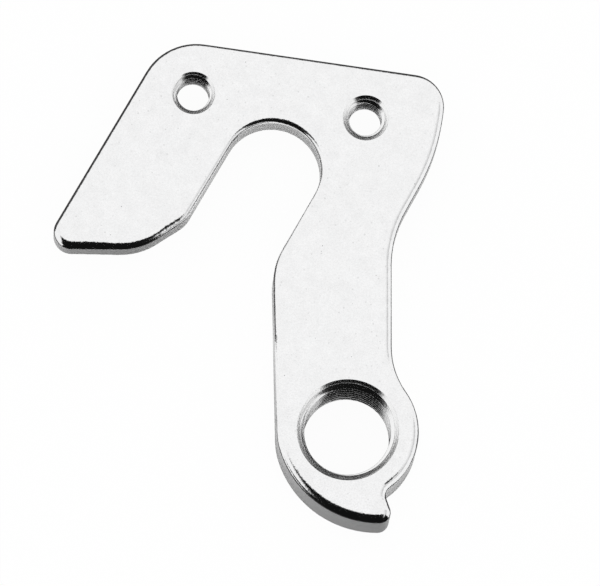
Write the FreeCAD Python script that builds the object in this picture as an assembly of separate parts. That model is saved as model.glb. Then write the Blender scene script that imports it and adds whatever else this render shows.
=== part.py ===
import FreeCAD, Part
import math
import os
from FreeCAD import Vector

# Replaceable derailleur hanger of a bicycle's right dropout, machined from one aluminium plate.
# Millimetres. X runs along the two frame screws to the rear of the bicycle, Y runs up from the
# derailleur bolt to the screws, and +Z is the inner face, which looks at the wheel.
# The origin is on the derailleur bolt's axis, on the outer face that the derailleur seats on.

# Thicknesses
plate_thickness = 4.0          # upper plate, which lies against the frame's dropout
knuckle_thickness = 7.2        # lower arm and knuckle, flush with the dropout's outer face

# Wheel axle slot
axle_x = -11.66
axle_y = 26.2
slot_width = 10.2              # a 10 mm rear axle and 0.2 mm clearance
slot_angle = 68.0              # its direction, degrees from X
front_mouth = 9.05             # from the axle down to the front end of the slot's wall
rear_mouth = 8.6               # and to the rear end
rear_mouth_round = 7.0

# Frame screws, two tapped M4 holes
screw_y = 33.15
front_screw_x = -20.95
screw_spacing = 18.2
screw_minor = 3.4
front_screw_rim = 4.55         # diameter of the lead-in at the inner face
rear_screw_rim = 4.85
screw_back_chamfer = 0.1

# Upper plate's edges, from the screws and the slot
top_land = 5.5
rear_land = 8.0
front_corner_round = 6.1
rear_corner_round = 3.45
prong_width = 11.6             # metal in front of the slot
prong_length = 19.4            # from the axle down to the prong's front corner
prong_toe_length = 14.2        # and to where its lower edge turns up into the slot
prong_toe_inset = 2.45         # the turn's distance from the slot's wall
prong_corner_round = 1.9
toe_round = 7.2
lip_round = 3.2

# Arm between the plate and the knuckle
arm_lean = 8.0                 # of its rear edge, degrees from Y
arm_half_width = 4.6           # from the bolt's axis to the rear edge
waist_y = 21.1
shoulder_y = 30.5
waist_share = 0.32             # how much of the flank between them each one's rounding takes
shoulder_share = 0.39
neck_round = 8.2               # hollow between the arm and the knuckle

# Knuckle and the stop for the derailleur's B screw
knuckle_radius = 7.4
tail_radius = 10.8
tail_start_angle = 206.0
stop_angle = -51.5
stop_slope = -62.0
stop_notch_round = 1.0
tail_tip_round = 1.2

# Derailleur bolt, M10 x 1
bolt_minor = 9.0
bolt_rim = 10.7
bolt_back_chamfer = 0.3

# Rounded edges
edge_round = 0.95
tail_round = 1.05
slot_round = 0.35
toe_edge_round = 0.8
mouth_edge_round = 0.6
step_corner_round = 1.5
step_root_round = 0.8
step_distance = 20.4           # from the bolt to the step, where the frame's dropout ends

back_of_plate = knuckle_thickness - plate_thickness
slot_half = slot_width / 2
SAME_PLACE = 1e-6
BEYOND = 200.0                 # longer than the part


def polar(length, degrees):
    angle = math.radians(degrees)
    return Vector(length * math.cos(angle), length * math.sin(angle), 0)


axle = Vector(axle_x, axle_y, 0)
along_slot = polar(1, slot_angle)
across_slot = polar(1, slot_angle - 90)
bolt_axis = Vector(0, 0, 0)


def from_axle(along, across):
    """A point set out from the axle, along the slot and across it to the rear."""
    return axle + along_slot * along + across_slot * across


def meet(point, direction, other, other_direction):
    """Where two lines cross."""
    normal = Vector(-other_direction.y, other_direction.x, 0)
    return point + direction * ((other - point).dot(normal) / direction.dot(normal))


def line_to_circle(point, direction, centre, radius):
    """The point where a line, followed in its direction, leaves a circle."""
    foot = point + direction * (centre - point).dot(direction)
    reach = math.sqrt(radius ** 2 - (foot - centre).Length ** 2)
    return foot + direction * reach


def arc(centre, start, end):
    """The shorter arc from start to end."""
    middle = (start - centre) + (end - centre)
    middle.normalize()
    return Part.Arc(start, centre + middle * (start - centre).Length, end).toShape()


def radius_from(before, corner, after, reach):
    """The radius whose arc starts and ends at a distance, its reach, from a corner."""
    back = (before - corner).normalize()
    ahead = (after - corner).normalize()
    return reach * math.tan(math.acos(back.dot(ahead)) / 2)


def path(start, corners, end, start_rounding, end_rounding):
    """Lines with rounded corners. A corner is its point, radius and edge rounding."""
    edges = []
    place = start
    rounding = start_rounding
    for number, (corner, radius, corner_rounding) in enumerate(corners):
        after = corners[number + 1][0] if number + 1 < len(corners) else end
        back = (place - corner).normalize()
        ahead = (after - corner).normalize()
        half = math.acos(back.dot(ahead)) / 2
        reach = radius / math.tan(half)
        centre = corner + (back + ahead).normalize() * (radius / math.sin(half))
        arc_start = corner + back * reach
        arc_end = corner + ahead * reach
        if (arc_start - place).Length > SAME_PLACE:
            edges.append((Part.makeLine(place, arc_start), rounding, corner_rounding))
        edges.append((arc(centre, arc_start, arc_end), corner_rounding, corner_rounding))
        place = arc_end
        rounding = corner_rounding
    edges.append((Part.makeLine(place, end), rounding, end_rounding))
    return edges


def plate_and_arm():
    """The outline from the neck hollow round the plate and slot to the knuckle's front."""
    rear_x = front_screw_x + screw_spacing + rear_land
    top_y = screw_y + top_land
    front = slot_half + prong_width
    up_arm = polar(1, 90 + arm_lean)
    arm_edge = polar(arm_half_width, arm_lean)
    top_front = meet(Vector(0, top_y, 0), Vector(1, 0, 0), from_axle(0, -front), along_slot)
    waist = meet(arm_edge, up_arm, Vector(0, waist_y, 0), Vector(1, 0, 0))
    shoulder = Vector(rear_x, shoulder_y, 0)
    top_rear = Vector(rear_x, top_y, 0)
    flank = (shoulder - waist).Length
    corners = [
        (waist, radius_from(waist - up_arm, waist, shoulder, flank * waist_share), edge_round),
        (shoulder, radius_from(waist, shoulder, top_rear, flank * shoulder_share), edge_round),
        (top_rear, rear_corner_round, edge_round),
        (top_front, front_corner_round, edge_round),
        (from_axle(-prong_length, -front), prong_corner_round, edge_round),
        (from_axle(-prong_toe_length, -slot_half - prong_toe_inset), toe_round, toe_edge_round),
        (from_axle(-front_mouth, -slot_half), lip_round, slot_round),
        (from_axle(slot_half, -slot_half), slot_half, slot_round),
        (from_axle(slot_half, slot_half), slot_half, slot_round),
        (from_axle(-rear_mouth, slot_half), rear_mouth_round, mouth_edge_round),
    ]
    neck = neck_centre()
    start = neck + polar(neck_round, 180 + arm_lean)
    mouth = corners[-1][0]
    swing = math.degrees(math.acos(knuckle_radius / mouth.Length))
    knuckle_front = polar(knuckle_radius, math.degrees(math.atan2(mouth.y, mouth.x)) + swing)
    return path(start, corners, knuckle_front, edge_round, edge_round)


def neck_centre():
    """Centre of the hollow that touches both the arm's rear edge and the knuckle."""
    beside_arm = polar(arm_half_width + neck_round, arm_lean)
    return line_to_circle(beside_arm, polar(1, 90 + arm_lean), bolt_axis, knuckle_radius + neck_round)


def knuckle_and_tail(start):
    """The outline from the knuckle's front, round the tail and its notch, to the neck hollow."""
    tail_start = polar(knuckle_radius, tail_start_angle)
    tail_centre = polar(knuckle_radius - tail_radius, tail_start_angle)
    stop_foot = polar(knuckle_radius, stop_angle)
    down_stop = polar(1, stop_slope)
    out_of_stop = polar(1, stop_slope + 90)
    tip = line_to_circle(stop_foot - out_of_stop * tail_tip_round, down_stop, tail_centre,
                         tail_radius - tail_tip_round)
    tip_start = tail_centre + (tip - tail_centre).normalize() * tail_radius
    notch = line_to_circle(stop_foot + out_of_stop * stop_notch_round, down_stop, bolt_axis,
                           knuckle_radius + stop_notch_round)
    notch_end = polar(knuckle_radius, math.degrees(math.atan2(notch.y, notch.x)))
    neck = neck_centre()
    neck_start = polar(knuckle_radius, math.degrees(math.atan2(neck.y, neck.x)))
    tip_end = tip + out_of_stop * tail_tip_round
    notch_start = notch - out_of_stop * stop_notch_round
    return [
        (arc(bolt_axis, start, tail_start), edge_round, tail_round),
        (arc(tail_centre, tail_start, tip_start), tail_round, tail_round),
        (arc(tip, tip_start, tip_end), tail_round, tail_round),
        (Part.makeLine(tip_end, notch_start), tail_round, edge_round),
        (arc(notch, notch_start, notch_end), edge_round, edge_round),
        (arc(bolt_axis, notch_end, neck_start), edge_round, edge_round),
        (arc(neck, neck_start, neck + polar(neck_round, 180 + arm_lean)), edge_round, edge_round),
    ]


def rounded(solid, rounding_of_edges):
    """The solid with each listed edge rounded from its first radius to its second."""
    document = FreeCAD.newDocument()
    base = document.addObject("Part::Feature", "Base")
    base.Shape = solid
    fillet = document.addObject("Part::Fillet", "Fillet")
    fillet.Base = base
    fillet.Edges = rounding_of_edges
    document.recompute()
    shape = fillet.Shape.copy()
    FreeCAD.closeDocument(document.Name)
    return shape


def numbered(solid, outline, height):
    """The solid's edges over the outline at a height, numbered, with their roundings."""
    found = []
    for edge, first, second in outline:
        middle = edge.CenterOfMass + Vector(0, 0, height)
        start = edge.Vertexes[0].Point + Vector(0, 0, height)
        distances = [(other.CenterOfMass - middle).Length for other in solid.Edges]
        place = distances.index(min(distances))
        if (solid.Edges[place].Vertexes[0].Point - start).Length > SAME_PLACE:
            first, second = second, first
        found.append((place + 1, first, second))
    return found


def face_of(outline):
    return Part.Face(Part.Wire([edge for edge, first, second in outline]))


def upper_plate(outline):
    """The full outline at the plate's thickness, rounded on both faces."""
    solid = face_of(outline).extrude(Vector(0, 0, plate_thickness))
    solid.translate(Vector(0, 0, back_of_plate))
    faces = numbered(solid, outline, back_of_plate) + numbered(solid, outline, knuckle_thickness)
    return rounded(solid, faces)


def knuckle_pad(outline):
    """The thicker metal of the arm and knuckle, behind the plate's level, up to the step."""
    height = back_of_plate + plate_thickness / 2
    below_step = Part.makeBox(BEYOND, BEYOND, height, Vector(-BEYOND / 2, step_distance - BEYOND, 0))
    below_step.rotate(bolt_axis, Vector(0, 0, 1), arm_lean)
    pieces = face_of(outline).extrude(Vector(0, 0, height)).common(below_step).Solids
    pad = min(pieces, key=lambda piece: piece.distToShape(Part.Vertex(bolt_axis))[0])
    corners = [edge for edge in pad.Edges if on_step(edge) and edge.BoundBox.ZLength > back_of_plate]
    pad = pad.makeFillet(step_corner_round, corners)
    bottom = [edge for edge in pad.Edges if abs(edge.BoundBox.ZMax) < SAME_PLACE]
    return pad.makeFillet(edge_round, bottom)


def on_step(edge):
    """Whether an edge's middle lies in the plane of the step across the arm."""
    return abs(edge.CenterOfMass.dot(polar(1, 90 + arm_lean)) - step_distance) < SAME_PLACE


def tapped_hole(x, y, minor, rim, bottom, top, back_chamfer):
    """The tool that drills a hole at its thread's minor diameter and breaks both its edges."""
    radius = minor / 2
    depth = rim / 2 - radius
    place = Vector(x, y, bottom)
    drill = Part.makeCylinder(radius, top - bottom, place)
    lead_in = Part.makeCone(radius, radius + depth, depth, Vector(x, y, top - depth))
    lead_out = Part.makeCone(radius + back_chamfer, radius, back_chamfer, place)
    return drill.fuse([lead_in, lead_out])


def step_root(body):
    """The inside edge where the back of the plate meets the step."""
    return [edge for edge in body.Edges
            if on_step(edge) and abs(edge.CenterOfMass.z - back_of_plate) < SAME_PLACE]


def hanger():
    plate_edges = plate_and_arm()
    outline = plate_edges + knuckle_and_tail(plate_edges[-1][0].Vertexes[-1].Point)
    rear_screw_x = front_screw_x + screw_spacing
    front_screw = tapped_hole(front_screw_x, screw_y, screw_minor, front_screw_rim, back_of_plate,
                              knuckle_thickness, screw_back_chamfer)
    rear_screw = tapped_hole(rear_screw_x, screw_y, screw_minor, rear_screw_rim, back_of_plate,
                             knuckle_thickness, screw_back_chamfer)
    bolt = tapped_hole(0, 0, bolt_minor, bolt_rim, 0, knuckle_thickness, bolt_back_chamfer)
    plate = upper_plate(outline).cut([front_screw, rear_screw, bolt])
    pad = knuckle_pad(outline).cut(bolt)
    body = plate.fuse(pad).removeSplitter()
    return body.makeFillet(step_root_round, step_root(body))


os.makedirs("parts", exist_ok=True)
part = hanger()
part.exportStep("parts/derailleur_hanger.step")
print("solids", len(part.Solids), "valid", part.isValid(), "volume", round(part.Volume, 1))
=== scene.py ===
import math

import bmesh
import bpy
from mathutils import Matrix, Vector


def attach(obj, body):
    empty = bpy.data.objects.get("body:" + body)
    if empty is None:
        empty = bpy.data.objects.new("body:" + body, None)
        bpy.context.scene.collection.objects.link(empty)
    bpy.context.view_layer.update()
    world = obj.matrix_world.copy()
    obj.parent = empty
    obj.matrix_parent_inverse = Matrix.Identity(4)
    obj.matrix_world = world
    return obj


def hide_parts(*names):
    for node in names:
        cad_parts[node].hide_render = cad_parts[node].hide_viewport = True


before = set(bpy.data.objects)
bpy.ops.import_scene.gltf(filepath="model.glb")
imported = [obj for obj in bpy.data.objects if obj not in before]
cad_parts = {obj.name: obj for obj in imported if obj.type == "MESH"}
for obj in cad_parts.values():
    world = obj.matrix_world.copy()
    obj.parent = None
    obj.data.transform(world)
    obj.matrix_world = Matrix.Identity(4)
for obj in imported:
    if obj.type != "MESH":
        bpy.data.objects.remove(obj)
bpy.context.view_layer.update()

# Hanger body: one aluminium plate, milled to its outline with the knuckle left thick, then tumbled
# so that every edge is round, most of all round the slot. It takes over the CAD solid's surface,
# apart from the walls of its three holes, which come back below with their threads.
MM = 0.001
KNUCKLE_TOP = 7.2 * MM
PLATE_BACK = 3.2 * MM
BOLT_HOLE = {"x": 0.0, "y": 0.0, "bottom": 0.0, "minor": 4.5 * MM, "rim": 5.35 * MM, "back_rim": 4.8 * MM}
FRONT_SCREW = {"x": -20.95 * MM, "y": 33.15 * MM, "bottom": PLATE_BACK, "minor": 1.7 * MM,
               "rim": 2.275 * MM, "back_rim": 1.8 * MM}
REAR_SCREW = {"x": -2.75 * MM, "y": 33.15 * MM, "bottom": PLATE_BACK, "minor": 1.7 * MM,
              "rim": 2.425 * MM, "back_rim": 1.8 * MM}
HOLES = [BOLT_HOLE, FRONT_SCREW, REAR_SCREW]
AXLE = Vector((-11.66, 26.2)) * MM
ALONG_SLOT = Vector((math.cos(math.radians(68)), math.sin(math.radians(68))))
ACROSS_SLOT = Vector((ALONG_SLOT.y, -ALONG_SLOT.x))
SLOT_HALF = 5.1 * MM
ARCH_ROUND = 0.62 * MM
REAR_FADE = 2.5 * MM
TOE_ROUND = 0.8 * MM
TOE_LENGTH = 2.7 * MM
LIP_ROUND = 3.2 * MM
LIP_TURN = math.radians(25.4)
LIP_CENTRE = AXLE - ALONG_SLOT * 8.33 * MM - ACROSS_SLOT * 8.3 * MM
WELD = 0.001 * MM
ON_WALL = 0.004 * MM
CREASE = math.radians(36)

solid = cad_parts["derailleur_hanger"]
body_mesh = bpy.data.meshes.new("hanger_body")
metal = bmesh.new()
metal.from_mesh(solid.data)
bmesh.ops.remove_doubles(metal, verts=metal.verts, dist=WELD)


def from_axis(hole, point):
    return math.hypot(point.x - hole["x"], point.y - hole["y"])


def in_hole(face):
    """Whether a face belongs to a hole's wall or to one of its chamfers."""
    for hole in HOLES:
        reach = max(from_axis(hole, corner.co) for corner in face.verts)
        if reach < hole["rim"] + ON_WALL and abs(face.normal.z) < 0.9:
            return True
    return False


bmesh.ops.delete(metal, geom=[face for face in metal.faces if in_hole(face)], context="FACES")


def share(value, low, high):
    part = min(1.0, max(0.0, (value - low) / (high - low)))
    return part * part * (3 - 2 * part)


def at_slot_wall(place):
    """How far a place lies from the slot's wall, the way into the metal, and the round wanted there."""
    out = place - AXLE
    along, across = out.dot(ALONG_SLOT), out.dot(ACROSS_SLOT)
    if along > 0:
        wanted = ARCH_ROUND if across < 0 else ARCH_ROUND * share(along, 0.0, REAR_FADE)
        return out.length - SLOT_HALF, out.normalized(), wanted
    from_lip = place - LIP_CENTRE
    down_toe = -ALONG_SLOT * math.cos(LIP_TURN) - ACROSS_SLOT * math.sin(LIP_TURN)
    if across > 0 or from_lip.dot(down_toe) > TOE_LENGTH:
        return 0.0, ACROSS_SLOT, 0.0
    turn = min(LIP_TURN, max(0.0, math.atan2(-from_lip.dot(ALONG_SLOT), from_lip.dot(ACROSS_SLOT))))
    to_slot = ACROSS_SLOT * math.cos(turn) - ALONG_SLOT * math.sin(turn)
    wanted = ARCH_ROUND + (TOE_ROUND - ARCH_ROUND) * share(-along, 0.0, SLOT_HALF)
    return LIP_ROUND - from_lip.dot(to_slot), -to_slot, wanted


def widen_round(corner):
    """Grows the round between the inner face and the slot's wall, as tumbling leaves it."""
    away, into_metal, wanted = at_slot_wall(Vector((corner.co.x, corner.co.y)))
    deep = KNUCKLE_TOP - corner.co.z
    if away < -ON_WALL:
        return
    away = max(away, 0.0)
    deep = max(deep, 0.0)
    present = away + deep + math.sqrt(2 * away * deep)
    if 0 < present < wanted:
        growth = wanted / present - 1
        corner.co.x += into_metal.x * away * growth
        corner.co.y += into_metal.y * away * growth
        corner.co.z -= deep * growth


for corner in metal.verts:
    widen_round(corner)


# Tapped holes: the drilled wall at the thread's minor diameter, a 45 degree chamfer at each mouth,
# and the tap's helical groove, which runs out through the chamfers.
def groove_depth(turn, height, pitch):
    """How far the 60 degree thread cuts past the minor diameter at a turn and a height."""
    place = (height / pitch - turn) % 1.0
    flank = abs(place - 0.5) * 2
    crest, root = 0.26, 0.88
    return 0.541 * pitch * min(1.0, max(0.0, (1 - flank - crest / 2) / (root - crest)))


def wall_radius(hole, turn, height, pitch):
    """The hole's radius: its chamfers or its thread, whichever has cut deeper."""
    from_top = KNUCKLE_TOP - height
    from_bottom = height - hole["bottom"]
    radius = hole["minor"] + groove_depth(turn, height, pitch)
    return max(radius, hole["rim"] - from_top, hole["back_rim"] - from_bottom)


def rim_of(hole, height):
    """The open edges that the removed wall leaves round a hole at one of its mouths."""
    return [edge for edge in metal.edges if edge.is_boundary
            and all(abs(corner.co.z - height) < ON_WALL for corner in edge.verts)
            and all(from_axis(hole, corner.co) < hole["rim"] * 1.05 for corner in edge.verts)]


def tap(hole, pitch, columns):
    """Cuts the threaded wall, with a row each time that the groove climbs by a column, and joins it
    to both rims."""
    lip = 0.02 * MM
    low = hole["bottom"] + lip
    high = KNUCKLE_TOP - lip
    rows = round((high - low) / pitch * columns)
    rings = []
    for row in range(rows + 1):
        height = low + (high - low) * row / rows
        ring = []
        for column in range(columns):
            turn = column / columns
            radius = wall_radius(hole, turn, height, pitch)
            angle = math.tau * turn
            ring.append(metal.verts.new((hole["x"] + radius * math.cos(angle),
                                         hole["y"] + radius * math.sin(angle), height)))
        rings.append(ring)
    for lower, upper in zip(rings, rings[1:]):
        for column in range(columns):
            after = (column + 1) % columns
            face = metal.faces.new((lower[after], lower[column], upper[column], upper[after]))
            face.material_index = 1
    for ring, height in ((rings[0], hole["bottom"]), (rings[-1], KNUCKLE_TOP)):
        loop = [metal.edges.get((ring[column], ring[(column + 1) % columns])) for column in range(columns)]
        bridged = bmesh.ops.bridge_loops(metal, edges=loop + rim_of(hole, height))
        for face in bridged["faces"]:
            face.material_index = 1


tap(BOLT_HOLE, 1.0 * MM, 72)
tap(FRONT_SCREW, 0.7 * MM, 48)
tap(REAR_SCREW, 0.7 * MM, 48)
bmesh.ops.recalc_face_normals(metal, faces=metal.faces)
for edge in metal.edges:
    creased = edge.calc_face_angle(0) > CREASE
    at_rim = len({face.material_index for face in edge.link_faces}) == 2
    edge.smooth = not (creased or at_rim)
for face in metal.faces:
    face.smooth = True
metal.to_mesh(body_mesh)
metal.free()
hanger = bpy.data.objects.new("hanger_body", body_mesh)
bpy.context.scene.collection.objects.link(hanger)
even = hanger.modifiers.new("even_faces", "WEIGHTED_NORMAL")
even.keep_sharp = True
even.weight = 100
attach(hanger, "root")
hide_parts("derailleur_hanger")


# Finish: bare aluminium, tumbled bright. The flat faces are the brightest, the milled walls round
# the outline are duller, and small pits are left all over, their colour darkened: painted shade in
# their hollows.
class Wire:
    """A socket in a material: sums on it add Math nodes, and node() adds any other."""

    def __init__(self, tree, socket=None):
        self.tree = tree
        self.socket = socket

    def node(self, kind, settings=None, sockets=None, output=0):
        made = self.tree.nodes.new(kind)
        for name, value in (settings or {}).items():
            if name == "stops":
                while len(made.color_ramp.elements) < len(value):
                    made.color_ramp.elements.new(0.5)
                for stop, (place, shade) in zip(made.color_ramp.elements, value):
                    stop.position = place
                    stop.color = (shade, shade, shade, 1)
            else:
                setattr(made, name, value)
        for name, value in (sockets or {}).items():
            if isinstance(value, Wire):
                self.tree.links.new(value.socket, made.inputs[name])
            else:
                made.inputs[name].default_value = value
        return Wire(self.tree, made.outputs[output]) if made.outputs else None

    def maths(self, operation, *others):
        return self.node("ShaderNodeMath", {"operation": operation}, dict(enumerate((self, *others))))

    def __add__(self, other):
        return self.maths("ADD", other)

    def __sub__(self, other):
        return self.maths("SUBTRACT", other)

    def __rsub__(self, other):
        return self.node("ShaderNodeMath", {"operation": "SUBTRACT"}, {0: other, 1: self})

    def __mul__(self, other):
        return self.maths("MULTIPLY", other)

    __radd__ = __add__
    __rmul__ = __mul__

    def between(self, low, high):
        """0 below one value, 1 above the other, and smooth in the middle."""
        return self.node("ShaderNodeMapRange", {"interpolation_type": "SMOOTHSTEP"},
                         {"Value": self, "From Min": low, "From Max": high})


def new_finish(name):
    material = bpy.data.materials.new(name)
    material.use_nodes = True
    material.node_tree.nodes.clear()
    return material, Wire(material.node_tree)


def grey(wire, shade, blue=0.0):
    """A colour from one shade, and from how much bluer than grey it is."""
    return wire.node("ShaderNodeCombineColor", sockets={0: shade, 1: shade, 2: shade + blue})


def shade_between(wire, factor, first, second):
    """A colour that goes from the first to the second as the factor goes from 0 to 1."""
    return wire.node("ShaderNodeMix", {"data_type": "RGBA"}, {0: factor, 6: first, 7: second}, output=2)


def noise(wire, place, scale, detail=2.0):
    return wire.node("ShaderNodeTexNoise", sockets={"Vector": place, "Scale": scale, "Detail": detail})


def pits(wire, place, scale, share, core, rim):
    """Round pits in a share of the cells of a pattern, 1 in the middle and 0 outside."""
    cell = {"Vector": place, "Scale": scale}
    away = wire.node("ShaderNodeTexVoronoi", sockets=cell)
    colour = wire.node("ShaderNodeTexVoronoi", sockets=cell, output="Color")
    pick = wire.node("ShaderNodeSeparateColor", sockets={0: colour})
    return pick.between(1 - share, 1 - share * 0.4) * (1 - away.between(core, rim))


tumbled, wire = new_finish("tumbled_aluminium")
place = wire.node("ShaderNodeTexCoord", output="Object")
facing = wire.node("ShaderNodeNewGeometry", output="Normal")
steep = wire.node("ShaderNodeSeparateXYZ", sockets={0: facing}, output="Z").maths("ABSOLUTE")
wall = 1 - steep.between(0.12, 0.3)
grain = noise(wire, place, 6000.0)
cloud = noise(wire, place, 900.0)
dimple = noise(wire, place, 3000.0)
worn = noise(wire, place, 90.0).between(0.38, 0.62)
fine_pits = pits(wire, place, 1900.0, 0.55, 0.1, 0.24) * (0.35 + worn * 0.65)
deep_pits = pits(wire, place, 1500.0, 0.12, 0.05, 0.1)
shine = 0.725 + grain * 0.22 + cloud * 0.1
milled_shade = shade_between(wire, wall, grey(wire, shine, 0.003), grey(wire, 0.93))
# The pits pull the colour towards dark grey: painted shade in their hollows, besides their real dents.
colour_with_painted_pit_shade = shade_between(wire, fine_pits * 0.22 + deep_pits * 0.8, milled_shade, grey(wire, 0.2))
relief = grain * 0.2 + dimple * 0.6 - fine_pits * 0.2 - deep_pits * 0.4
bumped = wire.node("ShaderNodeBump", sockets={"Strength": 1.0, "Distance": 0.02 * MM, "Height": relief})
skin = wire.node("ShaderNodeBsdfPrincipled", sockets={
    "Base Color": colour_with_painted_pit_shade, "Metallic": 1 - wall * 0.15, "Roughness": 0.1 + wall * 0.68 + grain * 0.06,
    "Normal": bumped})
wire.node("ShaderNodeOutputMaterial", sockets={"Surface": skin})

# Cut metal in the holes: brighter and sharper, with the countersink's and the tap's turning marks.
cut, wire = new_finish("cut_aluminium")
place = wire.node("ShaderNodeTexCoord", output="Object")
along = wire.node("ShaderNodeMapping", sockets={"Vector": place, "Scale": (0.04, 0.04, 1.0)})
turning = wire.node("ShaderNodeTexNoise", sockets={"Vector": along, "Scale": 4000.0, "Detail": 4.0})
chatter = wire.node("ShaderNodeTexNoise", sockets={"Vector": place, "Scale": 8000.0, "Detail": 2.0})
marks = turning * 0.7 + chatter * 0.3
scored = wire.node("ShaderNodeBump", sockets={"Strength": 1.0, "Distance": 0.03 * MM, "Height": marks})
edge = wire.node("ShaderNodeBsdfPrincipled", sockets={
    "Base Color": shade_between(wire, marks, grey(wire, 0.8), grey(wire, 0.97)), "Metallic": 1.0,
    "Roughness": 0.08 + chatter * 0.12, "Normal": scored})
wire.node("ShaderNodeOutputMaterial", sockets={"Surface": edge})
body_mesh.materials.append(tumbled)
body_mesh.materials.append(cut)

# Studio: a white paper floor in a white room. A black cloth arches from overhead to the floor in
# front, as round a camera, and a pale grey screen stands on the right. A dark grey sheet under the
# hanger and two small black cards by it are painted shade, for the floor's shade close round it.
# Nothing sees these but the metal's reflections.
FLOOR_HALF = 3.0
floor_mesh = bpy.data.meshes.new("floor")
floor_mesh.from_pydata([(-FLOOR_HALF, -FLOOR_HALF, 0), (FLOOR_HALF, -FLOOR_HALF, 0),
                        (FLOOR_HALF, FLOOR_HALF, 0), (-FLOOR_HALF, FLOOR_HALF, 0)], [], [(0, 1, 2, 3)])
floor = bpy.data.objects.new("floor", floor_mesh)
bpy.context.scene.collection.objects.link(floor)
paper, wire = new_finish("white_paper")
camera_ray = wire.node("ShaderNodeLightPath", output="Is Camera Ray")
glossy_ray = wire.node("ShaderNodeLightPath", output="Is Glossy Ray")
glass_ray = wire.node("ShaderNodeLightPath", output="Is Transmission Ray")
seen = (camera_ray + glossy_ray + glass_ray).maths("MINIMUM", 1.0)
sheet = wire.node("ShaderNodeBsdfDiffuse", sockets={"Color": (0.92, 0.92, 0.92, 1)})
glow = wire.node("ShaderNodeEmission", sockets={"Color": (1, 1, 1, 1), "Strength": 1.0})
wire.node("ShaderNodeOutputMaterial", sockets={
    "Surface": wire.node("ShaderNodeMixShader", sockets={0: seen * 0.96, 1: sheet, 2: glow})})
floor_mesh.materials.append(paper)

CLOTH_RADIUS = 1.6
CLOTH_SIDES = (-1.7, 2.0)
CLOTH_STEPS = 32
CLOTH_TOP = 16.0
CLOTH_LIFT = 0.02 * MM
# Painted shade: the outline of a dark grey sheet under the hanger, for the floor's shade round it.
PAINTED_SHADE_UNDER_HANGER = [(-40, 9), (-43, 17), (-120, 30), (-120, 120), (15, 120), (12.5, 30), (9.5, 19), (13, 10),
               (21, 3), (13, -5), (13, -17), (-12, -17), (-15, -9), (-15, 0), (-9, 9), (-9.5, 18), (-8.3, 24),
               (-9.5, 27.5), (-12, 29), (-14.5, 27), (-16.5, 22), (-16, 20), (-12, 17), (-12, 9)]
# Painted shade: two black cards beside the prong and the tip, for the floor's shade there.
LOW_SHADE_CARD = [(-36, 9), (-12, 9)]
TIP_SHADE_CARD = [(8.5, -13), (8.5, -9)]
CARD_HEIGHT = 9 * MM
SCREEN_RADIUS = 2.8
SCREEN_TURN = (-34, 28)
SCREEN_TILT = (28, 72)
SCREEN_COLUMNS, SCREEN_ROWS = 16, 8


def reflected_only(name, points, faces, finish):
    """A piece of the studio that nothing but the metal's reflections shows."""
    mesh = bpy.data.meshes.new(name)
    mesh.from_pydata(points, [], faces)
    mesh.materials.append(finish)
    piece = bpy.data.objects.new(name, mesh)
    bpy.context.scene.collection.objects.link(piece)
    piece.visible_camera = False
    piece.visible_diffuse = False
    piece.visible_shadow = False


def plain_glow(wire, shade):
    """A finish that shows as one shade, whatever lights it."""
    wire.node("ShaderNodeOutputMaterial", sockets={
        "Surface": wire.node("ShaderNodeEmission", sockets={"Color": grey(wire, shade), "Strength": 1.0})})


soft_black, wire = new_finish("soft_edged_cloth")
sideways = wire.node("ShaderNodeSeparateXYZ", sockets={0: wire.node("ShaderNodeTexCoord", output="Object")},
                     output="X")
plain_glow(wire, 1 - 0.994 * sideways.between(-1.6, -1.2) * (1 - sideways.between(1.35, 1.9)))
# Painted shade: the black of the two cards beside the hanger.
black, wire = new_finish("painted_shade_card")
plain_glow(wire, 0.006)
# Painted shade: the dark grey of the sheet under the hanger.
dark_grey, wire = new_finish("painted_shade_grey_sheet")
plain_glow(wire, 0.05)
arch = []
for step in range(CLOTH_STEPS + 1):
    angle = math.radians(CLOTH_TOP + (90.0 - CLOTH_TOP) * step / CLOTH_STEPS)
    for side in CLOTH_SIDES:
        arch.append((side, -CLOTH_RADIUS * math.sin(angle), CLOTH_RADIUS * math.cos(angle)))
reflected_only("hanging_cloth", arch,
               [(2 * step, 2 * step + 1, 2 * step + 3, 2 * step + 2) for step in range(CLOTH_STEPS)], soft_black)
reflected_only("front_cloth", [
    (CLOTH_SIDES[0], -CLOTH_RADIUS, CLOTH_LIFT), (CLOTH_SIDES[1], -CLOTH_RADIUS, CLOTH_LIFT),
    (13 * MM, -17 * MM, CLOTH_LIFT), (-45 * MM, -17 * MM, CLOTH_LIFT)], [(0, 1, 2, 3)], soft_black)
reflected_only("painted_shade_under_hanger", [(x * MM, y * MM, CLOTH_LIFT) for x, y in PAINTED_SHADE_UNDER_HANGER],
               [tuple(range(len(PAINTED_SHADE_UNDER_HANGER)))], dark_grey)
for name, ends in (("low_painted_shade_card", LOW_SHADE_CARD), ("tip_painted_shade_card", TIP_SHADE_CARD)):
    reflected_only(name, [(x * MM, y * MM, z) for z in (0.0, CARD_HEIGHT) for x, y in ends], [(0, 1, 3, 2)],
                   black)

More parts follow.
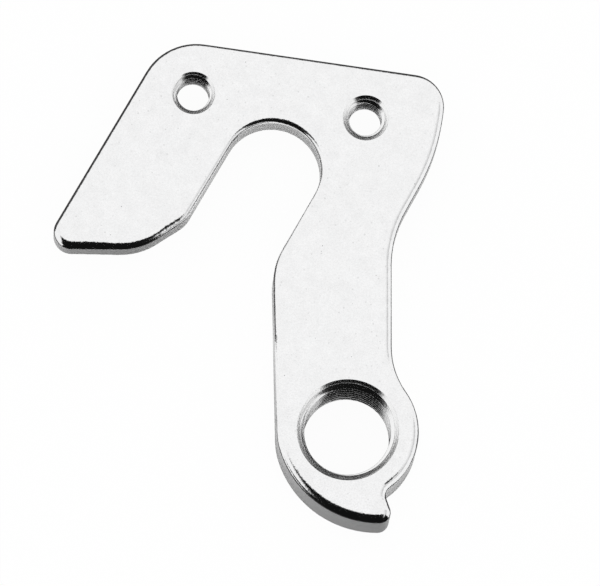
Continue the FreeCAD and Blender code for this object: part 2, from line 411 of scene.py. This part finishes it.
pale, wire = new_finish("grey_screen")
height = wire.node("ShaderNodeSeparateXYZ", sockets={0: wire.node("ShaderNodeTexCoord", output="Object")},
                   output="Z")
plain_glow(wire, 0.6 + 0.4 * height.between(SCREEN_RADIUS * math.cos(math.radians(SCREEN_TILT[1])),
                                            SCREEN_RADIUS * math.cos(math.radians(SCREEN_TILT[0]))))
screen = []
for row in range(SCREEN_ROWS + 1):
    tilt = math.radians(SCREEN_TILT[0] + (SCREEN_TILT[1] - SCREEN_TILT[0]) * row / SCREEN_ROWS)
    for column in range(SCREEN_COLUMNS + 1):
        turn = math.radians(SCREEN_TURN[0] + (SCREEN_TURN[1] - SCREEN_TURN[0]) * column / SCREEN_COLUMNS)
        screen.append((SCREEN_RADIUS * math.sin(tilt) * math.cos(turn),
                       SCREEN_RADIUS * math.sin(tilt) * math.sin(turn), SCREEN_RADIUS * math.cos(tilt)))
across = SCREEN_COLUMNS + 1
reflected_only("grey_screen", screen, [
    (row * across + column, row * across + column + 1, (row + 1) * across + column + 1,
     (row + 1) * across + column) for row in range(SCREEN_ROWS) for column in range(SCREEN_COLUMNS)], pale)

world = bpy.data.worlds.new("white_room")
world.use_nodes = True
world.node_tree.nodes["Background"].inputs["Color"].default_value = (1, 1, 1, 1)
world.node_tree.nodes["Background"].inputs["Strength"].default_value = 1.0
bpy.context.scene.world = world
bpy.context.scene.view_settings.view_transform = "Standard"

# Camera: a long lens, a metre above the part and a little in front of it.
IMAGE_WIDTH = 600
FOCAL_PIXELS = 9600
SENSOR = 36.0
right = Vector((0.98972, 0.139, 0.03367))
ahead = Vector((0.00494, 0.202, -0.97937)).normalized()
right = (right - ahead * right.dot(ahead)).normalized()
up = right.cross(ahead)
lens = bpy.data.cameras.new("camera")
lens.sensor_width = SENSOR
lens.lens = SENSOR * FOCAL_PIXELS / IMAGE_WIDTH
lens.clip_start = 0.01
lens.clip_end = 20.0
camera = bpy.data.objects.new("camera", lens)
turned = Matrix((right, up, -ahead)).transposed().to_4x4()
camera.matrix_world = Matrix.Translation(Vector((-11.9, -188.4, 986.7)) * MM) @ turned
bpy.context.scene.collection.objects.link(camera)
bpy.context.scene.camera = camera
